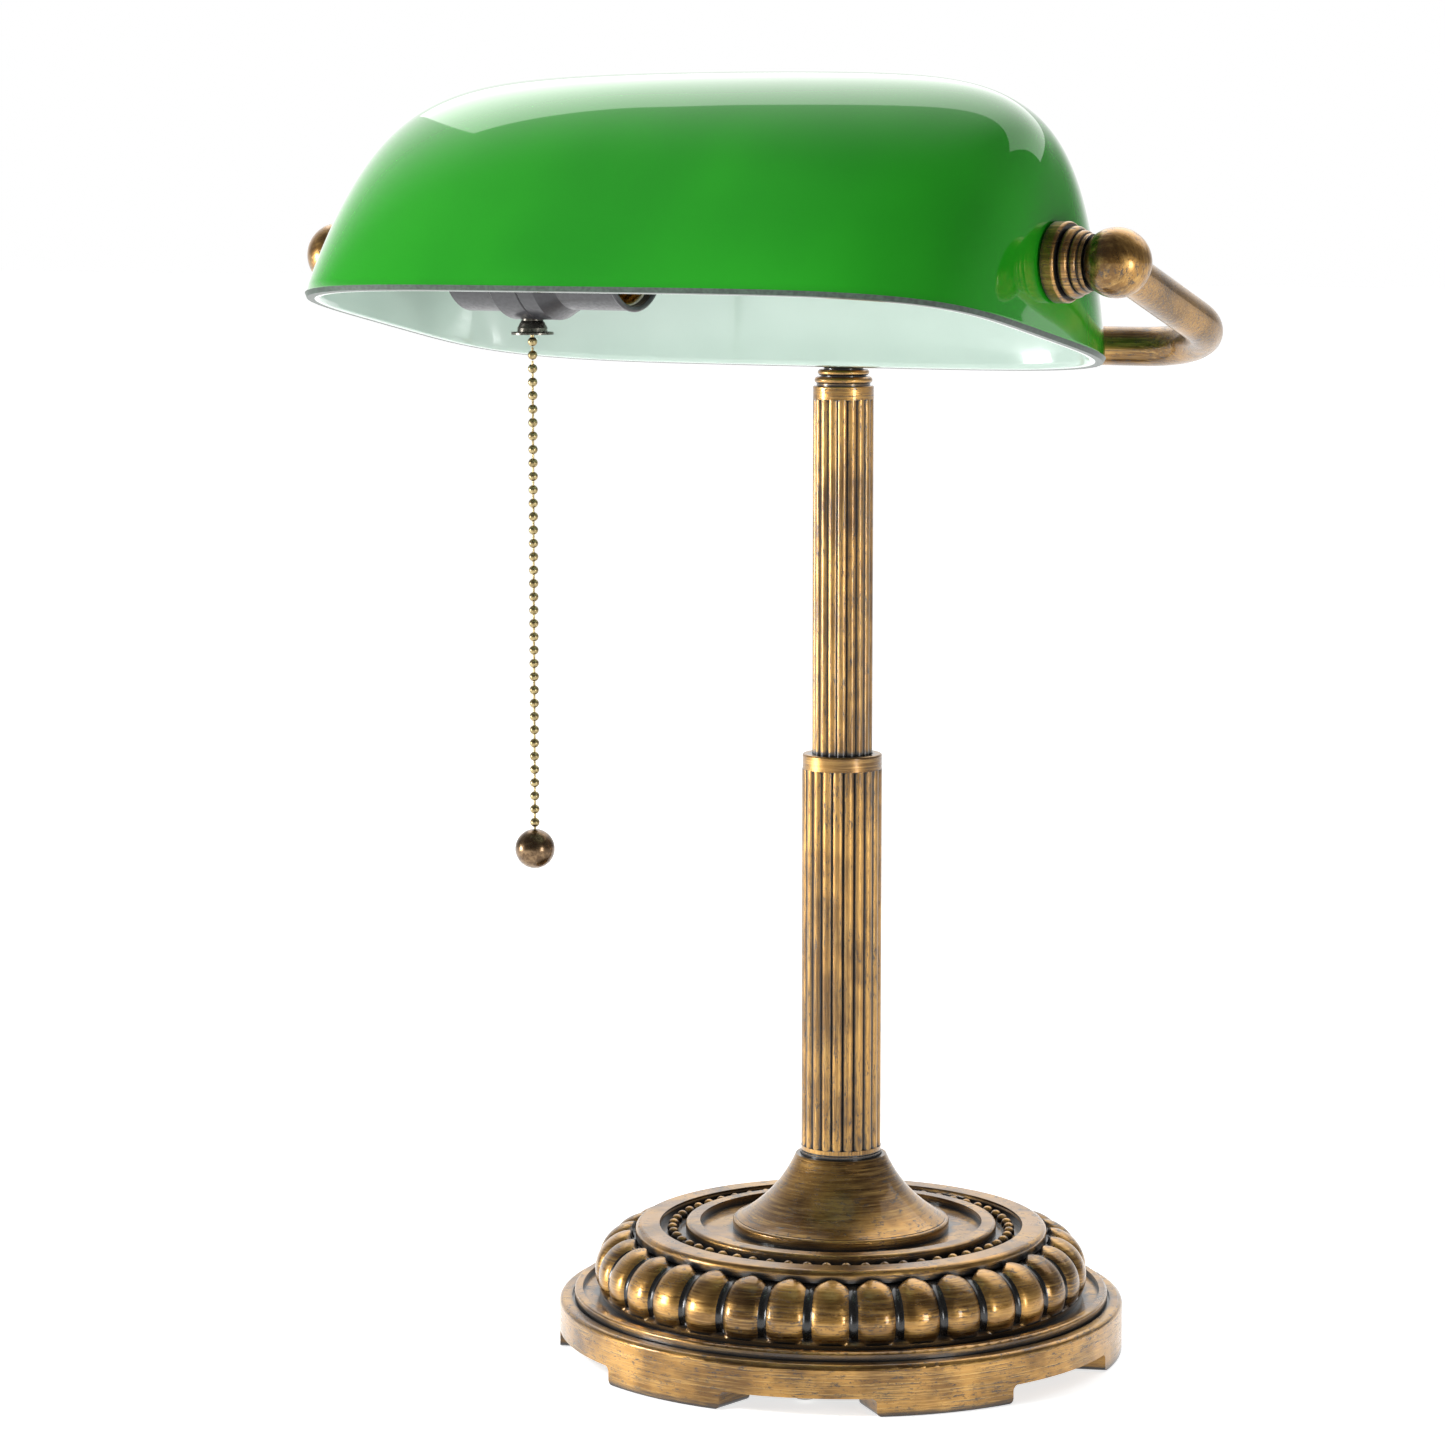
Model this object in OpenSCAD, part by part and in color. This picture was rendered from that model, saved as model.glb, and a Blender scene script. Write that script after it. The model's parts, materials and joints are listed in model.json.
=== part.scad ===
// Banker desk lamp: weighted footed base, reeded column, yoke and a tilting green glass shade.
// Millimetres, +Z up. The origin is on the standing surface, under the middle of the column.
// The shade is long along X and hangs in front of the column, towards -Y.

/* [Base] */
// Diameter of the plinth
base_d = 180; // [176:1:190]
// Height of the underside of the arches between the feet
arch_h = 5.9; // [4:0.1:7]
// Number of feet
foot_count = 6; // [4:1:8]
// Width of one foot at the rim
foot_w = 44.8; // [30:0.1:50]
// Number of lobes on the gadroon ring
lobe_count = 34; // [24:1:40]
// Depth of the valleys between the lobes
lobe_depth = 1.8; // [0.5:0.1:2.5]
// Number of beads on the bead ring
bead_count = 56; // [40:1:60]

/* [Column] */
// Height of the joint between the two reeded tubes
mid_h = 185.8; // [160:0.1:220]
// Height of the capital
capital_h = 302.3; // [270:0.1:310]
// Outer radius of the lower reeded tube
lower_r = 12.69; // [11.5:0.01:12.9]
// Number of reeds on the lower tube
lower_reeds = 21; // [18:1:24]
// Outer radius of the upper reeded tube
upper_r = 9.56; // [9:0.01:9.9]
// Number of reeds on the upper tube
upper_reeds = 18; // [15:1:20]

/* [Yoke] */
// Height of the yoke bar
bar_h = 320.6; // [318:0.1:330]
// Distance of the shade's pivot in front of the column
pivot_out = 81.8; // [80:0.1:95]
// Height of the shade's pivot
pivot_h = 347.1; // [340:0.1:360]
// Distance of each arm from the middle
arm_x = 134.3; // [134.3:0.1:140]
// Outer diameter of the yoke tubes
tube_d = 11.8; // [11:0.1:12]
// Inner diameter of the yoke tubes
tube_bore_d = 9.2; // [8:0.1:9.4]
// Radius of the bend in each yoke tube
bend_r = 30; // [20:1:35]

/* [Shade] */
// Length of the shade
shade_l = 230.2; // [228:0.1:230.4]
// Width of the shade
shade_w = 140; // [120:1:142]
// Height of the shade
shade_h = 76.8; // [70:0.1:80]
// Thickness of the glass
glass_t = 4; // [3:0.1:4.2]
// Distance of the rim below the pivot
rim_drop = 21.6; // [20:0.1:24]
// Tilt of the shade, front edge up
shade_tilt = 10.75; // [0:0.25:20]

/* [Pull chain] */
// Position of the chain along the lampholder
chain_x = -62.4; // [-63:0.1:-61.5]
// Distance between the middles of two beads
bead_pitch = 4.1; // [3.8:0.1:4.4]
// Radius of a bead
bead_r = 1.45; // [1.2:0.05:1.5]
// Number of beads below the bell
chain_beads = 37; // [20:1:42]
// Radius of the ball at the end of the chain
knob_r = 6.1; // [4:0.1:8]

/* [Hidden] */
$fn = 48;

brass = [0.62, 0.49, 0.28];
dark_brass = [0.42, 0.32, 0.18];
steel = [0.70, 0.70, 0.70];
phenolic = [0.13, 0.13, 0.14];
iron = [0.22, 0.22, 0.23];
rubber = [0.08, 0.08, 0.08];
green = [0.12, 0.47, 0.18];

// Clearances: a running fit on a shaft, and a face gap between bodies
run = 0.08;
slip = 0.05;
face_gap = 0.3;

// Base levels
pad_h = 2;
pad_r = 6;
foot_z = 0.3;
foot_in_r = 76;
pad_ring_r = 82;
foot_turn = 21;
base_r = base_d / 2;
plinth_wall = 3.5;
plinth_top = 16.2;
plinth_round = 1.6;
shelf_z = 15.9;
shelf_top = 18.9;
shelf_in_r = 60;
lip_r = 85.2;
cove_r = 2;
cove_lift = 0.1;
foot_round = 1.5;
boss_r = 4;
boss_ring_r = 72;
boss_turn = 51;
cover_z = 2.6;
cover_t = 1.2;
cover_r = 75.5;
weight_z = 11;
weight_r = 59.5;
weight_flange_r = 67;
weight_top = 34.4;
lead_turn = 111;
lead_z = 10.6;
lead_r = 2.9;

// Gadroon ring and top plate
gadroon_c = [66, 24.5];
gadroon_semi = [12.6, 12.5];
gadroon_in_r = 62;
gadroon_ledge = 35.4;
gadroon_turn = -57.5;
plate_z = 37.7;
channel_z = 36.2;
ring_bead_r = 1.75;
ring_bead_at = 53.8;
ring_bead_z = 37.3;
ring_bead_turn = -58.7;

// Trumpet cup
cup_r = 34.5;
cup_c = [53.77, 78.9];
cup_arc_r = 42.76;
cup_wall = 3;
cup_top = 62;
cup_floor = 59.4;
cup_cavity_top = 56;
cup_recess_r = 13;

// Threaded rod
rod_r = 4.85;
rod_bore_r = 3.3;
rod_hole_r = rod_r + slip;
nut_z = 4.4;
washer_z = 9.5;
rod_top = 316;

// Reeded tubes: radius of one reed, and the tube's bore
lower_reed_r = 1.9;
lower_bore_r = 9.6;
lower_turn = -58.5;
upper_reed_r = 1.75;
upper_bore_r = 6.8;
upper_turn = -52.5;
band_h = 5.4;
collar_h = 4.8;
collar_step = 2.8;
spigot_l = 5;

// Yoke
tube_r = tube_d / 2;
hub_r = 10.5;
hub_flat = 8.6;
tube_gap = 5.2;
corner_x = arm_x - 0.7;
arm_rise = atan2(pivot_h - bar_h, pivot_out);
arm_l = norm([pivot_out, pivot_h - bar_h]);
ball_r = 10;
ball_seat = 4.5;

// Pivot stack, distances from the middle along X
collar_far = arm_x - 7.3;
collar_near = arm_x - 18.4;
glass_out = shade_l / 2;
bush_r = 6.4;
bush_flange_r = 9;
washer_in = 110.4;
washer_t = 1.8;
pivot_nut_t = 5;
nipple_end_right = 101;
nipple_end_left = 90;

// Shade outline: section powers, plan powers at the rim and at the crown
side_pow = [5.2, 4.7];
front_pow = [1.32, 2.07];
plan_rim = [4.6, 4.4];
plan_crown = 2;
shade_rings = 16;
shade_cols = 64;

// Lampholder, positions along X
holder_back = -96;
holder_mouth = -26.6;
cap_r = 16.5;
flange_r = 18.9;
seam_x = -58;
shell_r = 15.8;
holder_wall = 1.6;
thread_r = 13.35;
thread_mouth = -28.6;
thread_floor = -50.4;
contact_space = 2.3;
lever_x = -71.4;
lever_drop = 7;
lever_l = 13.2;
lever_w = 5;
lever_t = 2;
pin_r = 1;
cheek_y = 3.1;
cheek_t = 2;
rotor_at = [-65, 5.5];
bell_top = 331;
bell_z = 323.7;
link_r = 0.6;
head_z = pivot_h - 4.15;
first_bead_z = 321.5;
wire_r = 0.35;
wire_gap = 0.2;
knob_z = first_bead_z - bead_pitch * (chain_beads - 1) - bead_r - knob_r - 0.65;

// ---- Helpers ----

module at_pivot() { translate([0, -pivot_out, pivot_h]) children(); }

// A solid turned about the pivot's axis, from an outline of [radius, x]
module spin_x() { at_pivot() rotate([0, 90, 0]) rotate_extrude($fn = 64) children(); }

module ring(inner, outer, low, high) {
    translate([inner, low]) square([outer - inner, high - low]);
}

// A quarter round fillet that rounds an outline's outer top corner
module rounded_ring(inner, outer, low, high, r) {
    ring(inner, outer, low, high - r);
    ring(inner, outer - r, low, high);
    translate([outer - r, high - r]) circle(r);
}

module repeat(count, turn) {
    for (i = [0:count - 1]) rotate([0, 0, turn + i * 360 / count]) children();
}

// Triangles of a grid of rows x cols points that closes on itself around each row
function grid_faces(rows, cols, first, out) = [
    for (i = [0:rows - 2]) for (j = [0:cols - 1]) for (half = [0, 1])
        let (a = first + i * cols + j, b = first + i * cols + (j + 1) % cols)
        let (tri = half == 0 ? [a, b, a + cols] : [b, b + cols, a + cols])
        out ? [tri[2], tri[1], tri[0]] : tri
];

// ---- Base ----

module foot_pads() {
    color(rubber)
        repeat(foot_count, foot_turn) translate([pad_ring_r, 0, 0]) cylinder(h = pad_h, r = pad_r);
}

module plinth_outline() {
    ring(base_r - plinth_wall, base_r, arch_h, 13);
    rounded_ring(82, base_r, 12.5, plinth_top, plinth_round);
    rounded_ring(82.6, lip_r, 15, shelf_top, 0.8);
    ring(82.6, 83.6, 15, shelf_top);
    ring(shelf_in_r, 83, shelf_z, 17.2);
    ring(shelf_in_r, 77.2, shelf_z, shelf_top);
}

module plinth_groove() { ring(lip_r, 86, 15.2, plinth_top + 1); }

// Points of a quarter circle, from one angle to another
function arc(c, r, from, to) = [
    for (i = [0:6])
        let (a = from + (to - from) * i / 6)
        [c.x + r * cos(a), c.y + r * sin(a)]
];

// Right half of a foot seen from outside: rounded below, with a cove up to the arch
function foot_half() = concat(
    arc([foot_w / 2 - foot_round, foot_z + foot_round], foot_round, -90, 0),
    arc([foot_w / 2 + cove_r, arch_h - cove_r + cove_lift], cove_r, 180, 90),
    [[foot_w / 2 + cove_r, shelf_top]]
);

module feet() {
    half = foot_half();
    last = len(half) - 1;
    intersection() {
        repeat(foot_count, foot_turn) rotate([90, 0, 90]) linear_extrude(height = base_r + 5)
            polygon(concat(half, [for (i = [0:last]) [-half[last - i].x, half[last - i].y]]));
        rotate_extrude($fn = 96) {
            ring(foot_in_r, base_r - slip, 0, 14);
            ring(foot_in_r, 82.3, 0, 16.5);
        }
    }
}

module plinth() {
    color(brass) difference() {
        union() {
            rotate_extrude($fn = 96) difference() {
                plinth_outline();
                plinth_groove();
            }
            feet();
            repeat(3, boss_turn) translate([boss_ring_r, 0, cover_z + cover_t])
                cylinder(h = shelf_z + 0.5 - cover_z - cover_t, r = boss_r);
        }
        repeat(foot_count, foot_turn) translate([pad_ring_r, 0, -1])
            cylinder(h = pad_h + 1, r = pad_r + slip);
        repeat(3, boss_turn) translate([boss_ring_r, 0, 2]) cylinder(h = 12, r = 1.55);
        rotate([0, 0, lead_turn]) translate([base_r - 6, 0, lead_z]) rotate([0, 90, 0])
            cylinder(h = 10, r = 3.75);
    }
}

module cover_plate() {
    color(dark_brass) translate([0, 0, cover_z]) difference() {
        cylinder(h = cover_t, r = cover_r, $fn = 96);
        repeat(3, boss_turn) translate([boss_ring_r, 0, -1]) cylinder(h = cover_t + 2, r = 1.7);
    }
}

module cover_screws() {
    color(steel) repeat(3, boss_turn) translate([boss_ring_r, 0, 1.2]) {
        cylinder(h = cover_z - 1.2, r = 2.8);
        cylinder(h = 11, r = 1.5);
    }
}

module base_weight() {
    color(iron) rotate_extrude($fn = 96) {
        rounded_ring(rod_hole_r, weight_r, weight_z, weight_top, 1);
        ring(rod_hole_r, weight_flange_r, weight_z, shelf_z);
    }
}

module rod_washer() {
    color(steel) rotate_extrude() ring(rod_hole_r, 14, washer_z, weight_z);
}

module rod_nut() {
    color(steel) translate([0, 0, nut_z]) difference() {
        cylinder(h = washer_z - nut_z, r = 9.8, $fn = 6);
        translate([0, 0, -1]) cylinder(h = 8, r = rod_hole_r);
    }
}

module threaded_rod() {
    color(steel) rotate_extrude() ring(rod_bore_r, rod_r, nut_z, rod_top);
}

module cord_bushing() {
    color(rubber) rotate([0, 0, lead_turn]) translate([0, 0, lead_z]) rotate([0, 90, 0]) rotate_extrude() {
        ring(lead_r, 3.7, base_r - 5.9, base_r + 1.2);
        rounded_ring(lead_r, 4.4, base_r + slip, base_r + 1.2, 0.6);
    }
}

// Outline of the gadroon ring at one angle; dip is how far the valley reaches there
function gadroon_outline(dip) = concat(
    [
        for (t = [-25:11.5:90])
            let (d = dip * (0.4 + 0.6 * cos(t)))
            [gadroon_c.x + (gadroon_semi.x - d) * cos(t), gadroon_c.y + (gadroon_semi.y - d) * sin(t)]
    ],
    [[65.9, gadroon_ledge], [gadroon_in_r, gadroon_ledge], [gadroon_in_r, shelf_top], [77, shelf_top]]
);

module gadroon_ring() {
    lobe_steps = 6;
    cols = lobe_count * lobe_steps;
    outline_n = len(gadroon_outline(0));
    points = [
        for (j = [0:cols])
            let (phase = (j % lobe_steps) / lobe_steps * 2 - 1, a = gadroon_turn + j * 360 / cols)
            for (p = gadroon_outline(lobe_depth * (1 - sqrt(1 - phase * phase))))
                [p.x * cos(a), p.x * sin(a), p.y]
    ];
    loop = [for (f = grid_faces(cols + 1, outline_n, 0, true)) [for (k = f) k % (cols * outline_n)]];
    color(brass) polyhedron([for (k = [0:cols * outline_n - 1]) points[k]], loop);
}

module top_plate() {
    color(brass) rotate_extrude($fn = 96) {
        ring(rod_hole_r, gadroon_in_r - slip, weight_top, channel_z);
        ring(rod_hole_r, 46, weight_top, plate_z);
        rounded_ring(45, 49.6, weight_top, 40.2, 1.2);
        rounded_ring(58, 65.7, gadroon_ledge, 39.3, 1.9);
        translate([59.2, 37.9]) circle(1.4);
        ring(57.8, 61, weight_top, 37.9);
    }
}

module bead_ring() {
    color(brass) {
        rotate_extrude($fn = 96) ring(51.9, 55.7, channel_z, 36.7);
        repeat(bead_count, ring_bead_turn) translate([ring_bead_at, 0, ring_bead_z])
            rotate_extrude($fn = 24) intersection() {
                circle(ring_bead_r);
                ring(0, ring_bead_r, channel_z - ring_bead_z, ring_bead_r);
            }
    }
}

// ---- Column ----

function cup_arc(r, low, high, steps) = [
    for (i = [0:steps])
        let (z = low + (high - low) * i / steps)
        [cup_c.x - sqrt(r * r - (z - cup_c.y) * (z - cup_c.y)), z]
];

module trumpet_cup() {
    color(brass) rotate_extrude($fn = 96) difference() {
        union() {
            polygon(concat([[0, plate_z]], [[33.2, plate_z]], cup_arc(cup_arc_r, 41.35, 61.4, 24),
                [[14.4, cup_top], [0, cup_top]]));
            rounded_ring(25, cup_r, plate_z, 41.2, 1);
        }
        polygon(concat([[0, plate_z - 1], [30, plate_z - 1], [30, plate_z]],
            cup_arc(cup_arc_r + cup_wall, 39.5, cup_cavity_top, 16), [[0, cup_cavity_top]]));
        ring(0, rod_hole_r, plate_z, cup_top + 1);
        ring(0, cup_recess_r, cup_floor, cup_top + 1);
    }
}

// A tube with round reeds all round it
module reeded_tube(outer, reed_r, bore_r, count, turn, low, high) {
    pitch_r = outer - reed_r;
    valley_r = pitch_r * cos(180 / count) + sqrt(pow(reed_r, 2) - pow(pitch_r * sin(180 / count), 2));
    translate([0, 0, low]) linear_extrude(height = high - low) difference() {
        union() {
            circle(valley_r - 0.35);
            repeat(count, turn + 180 / count) translate([pitch_r, 0]) circle(reed_r, $fn = 24);
        }
        circle(bore_r);
    }
}

module lower_column() {
    band_top = cup_floor + band_h;
    band_r = lower_r + 0.06;
    color(brass) {
        reeded_tube(lower_r, lower_reed_r, lower_bore_r, lower_reeds, lower_turn, band_top - 0.5, mid_h);
        rotate_extrude() {
            ring(lower_bore_r, band_r, cup_floor, 63);
            ring(lower_bore_r, band_r - 0.5, 62.5, 64);
            ring(lower_bore_r, band_r, 63.5, band_top);
        }
    }
}

module column_collar() {
    color(brass) rotate_extrude() {
        ring(rod_hole_r, 12.57, mid_h, mid_h + collar_step);
        rounded_ring(upper_r + slip, 12.57, mid_h + 1, mid_h + collar_h, 0.6);
        ring(rod_hole_r, lower_bore_r - slip, mid_h - spigot_l, mid_h + 1);
    }
}

module upper_column() {
    low = mid_h + collar_step;
    color(brass)
        reeded_tube(upper_r, upper_reed_r, upper_bore_r, upper_reeds, upper_turn, low, capital_h);
}

module column_capital() {
    color(brass) rotate_extrude() {
        rounded_ring(rod_hole_r, 9.54, capital_h, capital_h + 4.2, 0.4);
        ring(rod_hole_r, 8.4, capital_h + 4, capital_h + 6);
        translate([7.98, capital_h + 6]) circle(1.1);
        translate([7.08, capital_h + 8.4]) circle(1);
        ring(rod_hole_r, 7.08, capital_h + 6, capital_h + 9.4);
        ring(rod_hole_r, 6.2, capital_h + 9, bar_h - hub_flat);
        ring(rod_hole_r, upper_bore_r - slip, capital_h - spigot_l, capital_h + 1);
    }
}

// ---- Yoke ----

module hub_ball() {
    color(brass) difference() {
        translate([0, 0, bar_h]) sphere(r = hub_r, $fn = 64);
        translate([0, 0, bar_h - hub_flat - 5]) cylinder(h = 5, r = 12);
        translate([0, 0, bar_h - 12]) cylinder(h = 12, r = rod_hole_r);
        translate([-20, 0, bar_h]) rotate([0, 90, 0]) cylinder(h = 40, r = tube_r + slip);
    }
}

// One half of the yoke: bar, bend and arm; the arm runs towards the pivot
module yoke_tube() {
    bend_x = corner_x - bend_r;
    translate([0, 0, bar_h]) rotate([-arm_rise, 0, 0]) {
        translate([tube_gap, 0, 0]) rotate([0, 90, 0]) tube_run(bend_x - tube_gap);
        translate([bend_x, -bend_r, 0]) rotate_extrude(angle = 90) translate([bend_r, 0]) tube_section();
        translate([corner_x, -bend_r, 0]) rotate([90, 0, 0]) tube_run(arm_l - ball_seat - 0.7 - bend_r);
    }
}

module tube_section() {
    difference() {
        circle(tube_r);
        circle(tube_bore_d / 2);
    }
}

module tube_run(length) { linear_extrude(height = length) tube_section(); }

module arm_ball() {
    color(brass) difference() {
        translate([arm_x, -pivot_out, pivot_h]) rotate([0, 90, 0]) sphere(r = ball_r, $fn = 64);
        translate([corner_x, -pivot_out, pivot_h]) rotate([-90 - arm_rise, 0, 0]) {
            translate([0, 0, ball_seat]) cylinder(h = 12, r = tube_r + slip);
            cylinder(h = 12, r = rod_bore_r);
        }
        translate([arm_x - 15, -pivot_out, pivot_h]) rotate([0, 90, 0]) cylinder(h = 15, r = rod_hole_r);
    }
}

module nipple(end) { color(steel) spin_x() ring(rod_bore_r, rod_r, end, arm_x); }

// Stepped rings between the ball and the glass, with a seat for the ball
module clamp_collar() {
    color(brass) difference() {
        spin_x() {
            translate([0, collar_near]) rounded_ring(rod_hole_r, 11.6, 0, 4, 0.8);
            ring(rod_hole_r, 11, collar_near, collar_near + 2);
            step_ring(12.6, 10.3, 1.6);
            step_ring(10, 9.1, 1.2);
            step_ring(8.1, 8.2, 0.8);
            ring(rod_hole_r, 8, collar_near + 1, collar_far);
        }
        translate([arm_x, -pivot_out, pivot_h]) sphere(r = ball_r + 0.15, $fn = 64);
    }
}

// One ring of the collar, with a rounded edge
module step_ring(from_ball, outer, half) {
    ring(rod_hole_r, outer - half, arm_x - from_ball - half, arm_x - from_ball + half);
    translate([outer - half, arm_x - from_ball]) circle(half);
}

module pivot_washer() { color(steel) spin_x() ring(rod_hole_r, 10, washer_in - washer_t, washer_in); }

module pivot_nut() {
    inner_end = washer_in - washer_t - pivot_nut_t;
    color(steel) at_pivot() translate([inner_end, 0, 0]) rotate([0, 90, 0]) difference() {
        cylinder(h = pivot_nut_t, r = 8.1, $fn = 6);
        translate([0, 0, -1]) cylinder(h = pivot_nut_t + 2, r = rod_hole_r);
    }
}

// ---- Shade ----

function signed_pow(v, p) = sign(v) * pow(abs(v), p);

// One ring of the shade's surface at u, from 0 at the rim to 1 at the crown
function shade_ring(half_l, half_w, high, u) =
    let (n = plan_rim + u * ([plan_crown, plan_crown] - plan_rim))
    let (a = half_l * pow(1 - pow(u, side_pow.x), 1 / side_pow.y))
    let (b = half_w * pow(1 - pow(u, front_pow.x), 1 / front_pow.y))
    [
        for (j = [0:shade_cols - 1])
            let (t = 360 * j / shade_cols)
            [a * signed_pow(cos(t), 2 / n.x), b * signed_pow(sin(t), 2 / n.y), high * u - rim_drop]
    ];

function shade_points(half_l, half_w, high) = [
    for (i = [0:shade_rings - 1])
        each shade_ring(half_l, half_w, high, 1 - pow(1 - i / shade_rings, 2.2))
];

module shade_shell() {
    count = shade_rings * shade_cols;
    last = (shade_rings - 1) * shade_cols;
    outer = shade_points(shade_l / 2, shade_w / 2, shade_h);
    inner = shade_points(shade_l / 2 - glass_t, shade_w / 2 - glass_t, shade_h - glass_t);
    crowns = [[0, 0, shade_h - rim_drop], [0, 0, shade_h - glass_t - rim_drop]];
    turns = [for (j = [0:shade_cols - 1]) [j, (j + 1) % shade_cols]];
    faces = concat(
        grid_faces(shade_rings, shade_cols, 0, true),
        grid_faces(shade_rings, shade_cols, count, false),
        [for (k = turns) [2 * count, last + k[1], last + k[0]]],
        [for (k = turns) [2 * count + 1, count + last + k[0], count + last + k[1]]],
        [for (k = turns) [k[0], k[1], count + k[0]]],
        [for (k = turns) [k[1], count + k[1], count + k[0]]]
    );
    polyhedron(concat(outer, inner, crowns), faces);
}

module shade_glass() {
    color(green) at_pivot() rotate([-shade_tilt, 0, 0]) difference() {
        shade_shell();
        for (s = [-1, 1]) translate([s * glass_out, 0, 0]) rotate([0, 90, 0])
            cylinder(h = 4 * glass_t, r = bush_r + run, center = true);
    }
}

module shade_bush() {
    color(rubber) spin_x() {
        ring(rod_r + run, bush_r, glass_out - glass_t - 0.1, glass_out + 0.1);
        ring(rod_r + run, bush_flange_r, glass_out + 0.1, collar_near - face_gap);
    }
}

// ---- Lampholder ----

module socket_cap() {
    color(phenolic) difference() {
        spin_x() polygon([
            [rod_hole_r, holder_back], [8, holder_back], [8, -88], [15.3, -85.4], [cap_r, -84.2],
            [cap_r, -69], [flange_r - 0.6, -68], [flange_r, -67.4], [flange_r, seam_x - 0.4],
            [flange_r - 0.4, seam_x], [flange_r - holder_wall, seam_x], [flange_r - holder_wall, -66.4],
            [cap_r - holder_wall, -67.6], [cap_r - holder_wall, -83.4], [6.5, -86.2], [rod_hole_r, -86.2]
        ]);
        translate([chain_x, -pivot_out, pivot_h - 25]) cylinder(h = 12, r = 3.4);
    }
}

module socket_shell() {
    color(phenolic) spin_x() {
        polygon([
            [flange_r - 0.4, seam_x], [flange_r, seam_x + 0.4], [flange_r, -52], [shell_r, -46.5],
            [shell_r, holder_mouth + 0.9], [shell_r - 1.2, holder_mouth + 0.9], [shell_r - 1.2, -47],
            [flange_r - holder_wall, -52.4], [flange_r - holder_wall, seam_x]
        ]);
        translate([shell_r - 0.5, holder_mouth + 0.9]) circle(0.9);
    }
}

module socket_liner() {
    color([0.85, 0.84, 0.8]) spin_x() ring(13.95, 14.5, thread_floor, -28);
}

module cheek_hole(x, z, r) {
    translate([x, 0, z]) rotate([90, 0, 0]) cylinder(h = 20, r = r, center = true);
}

// Insulating block: it carries the screw shell, and two cheeks for the switch
module switch_block() {
    color(phenolic) difference() {
        union() {
            spin_x() {
                ring(0, 17.2, -57.8, -54);
                ring(0, 13.9, -54.5, thread_floor);
            }
            at_pivot() for (s = [-1, 1]) translate([-66.75, s * (cheek_y + cheek_t / 2), 0])
                cube([18.5, cheek_t, 21], center = true);
        }
        at_pivot() {
            cheek_hole(lever_x, -lever_drop, pin_r + 0.02);
            cheek_hole(rotor_at.x, rotor_at.y, 1.22);
            for (s = [-1, 1]) translate([-59, s * 10, 0]) rotate([0, 90, 0]) cylinder(h = 5, r = 1.52);
        }
    }
}

module screw_shell() {
    color(brass) spin_x() ring(thread_r, 13.85, thread_floor + contact_space, thread_mouth);
}

module centre_contact() {
    color(brass) spin_x() {
        ring(0, 1.2, thread_floor, thread_floor + 1.6);
        rounded_ring(0, 3.2, thread_floor + 0.8, thread_floor + 1.8, 0.4);
    }
}

module terminal_screws() {
    color(brass) at_pivot() for (s = [-1, 1]) translate([-60, s * 10, 0]) rotate([0, 90, 0]) {
        cylinder(h = 2.2, r = 2.6);
        cylinder(h = 5.8, r = 1.5);
    }
}

module switch_rotor() {
    color([0.75, 0.74, 0.7]) at_pivot() translate([rotor_at.x, 0, rotor_at.y]) rotate([90, 0, 0]) {
        cylinder(h = 5.4, r = 4.5, center = true);
        cylinder(h = 2 * (cheek_y + cheek_t), r = 1.2, center = true);
    }
}

module lever_pin() {
    color(steel) at_pivot() translate([lever_x, 0, -lever_drop]) rotate([90, 0, 0])
        cylinder(h = 2 * (cheek_y + cheek_t), r = pin_r, center = true);
}

// Lever with a barrel on its pin and a slot for the chain's link
module switch_lever() {
    color(steel) at_pivot() translate([lever_x, 0, -lever_drop]) difference() {
        union() {
            rotate([90, 0, 0]) cylinder(h = lever_w, r = 2.2, center = true);
            translate([0, -lever_w / 2, -lever_t / 2]) cube([lever_l, lever_w, lever_t]);
        }
        cheek_hole(0, 0, pin_r + slip);
        translate([7.4, -0.95, -3]) cube([4.5, 1.9, 6]);
    }
}

module return_spring() {
    turns = 6;
    steps = 14;
    sides = 6;
    coil_r = 2;
    coil_wire_r = 0.28;
    low = bell_top + coil_wire_r;
    high = pivot_h - lever_drop - lever_t / 2 - coil_wire_r - 0.1;
    rows = turns * steps + 1;
    points = [
        for (i = [0:rows - 1]) for (j = [0:sides - 1])
            let (a = 360 * i / steps, b = 360 * j / sides, r = coil_r + coil_wire_r * cos(b))
            [r * cos(a), r * sin(a), low + (high - low) * i / (rows - 1) + coil_wire_r * sin(b)]
    ];
    ends = [[for (j = [0:sides - 1]) j], [for (j = [0:sides - 1]) rows * sides - 1 - j]];
    color(steel) translate([chain_x, -pivot_out, 0])
        polyhedron(points, concat(grid_faces(rows, sides, 0, true), ends));
}

// ---- Pull chain ----

module at_chain(z) { translate([chain_x, -pivot_out, z]) children(); }

module chain_bell() {
    color([0.35, 0.34, 0.32]) at_chain(0) rotate_extrude() difference() {
        union() {
            ring(0, 3.35, 326, bell_top);
            ring(0, 4.1, bell_top - 0.6, bell_top);
            polygon([
                [0, bell_z], [4.7, bell_z + 0.4], [4.55, bell_z + 2], [3.9, bell_z + 3.4],
                [3.35, bell_z + 4.2], [0, bell_z + 4.2]
            ]);
            rounded_ring(0, 6.5, bell_z, bell_z + 0.8, 0.3);
        }
        ring(0, 2.2, bell_z - 1, bell_top - 1);
        ring(0, link_r + 0.3, bell_z, bell_top + 1);
    }
}

module chain_wire(low, high) { at_chain(low) cylinder(h = high - low, r = wire_r, $fn = 16); }

module chain_bead(z) { at_chain(z) sphere(r = bead_r, $fn = 24); }

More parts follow.
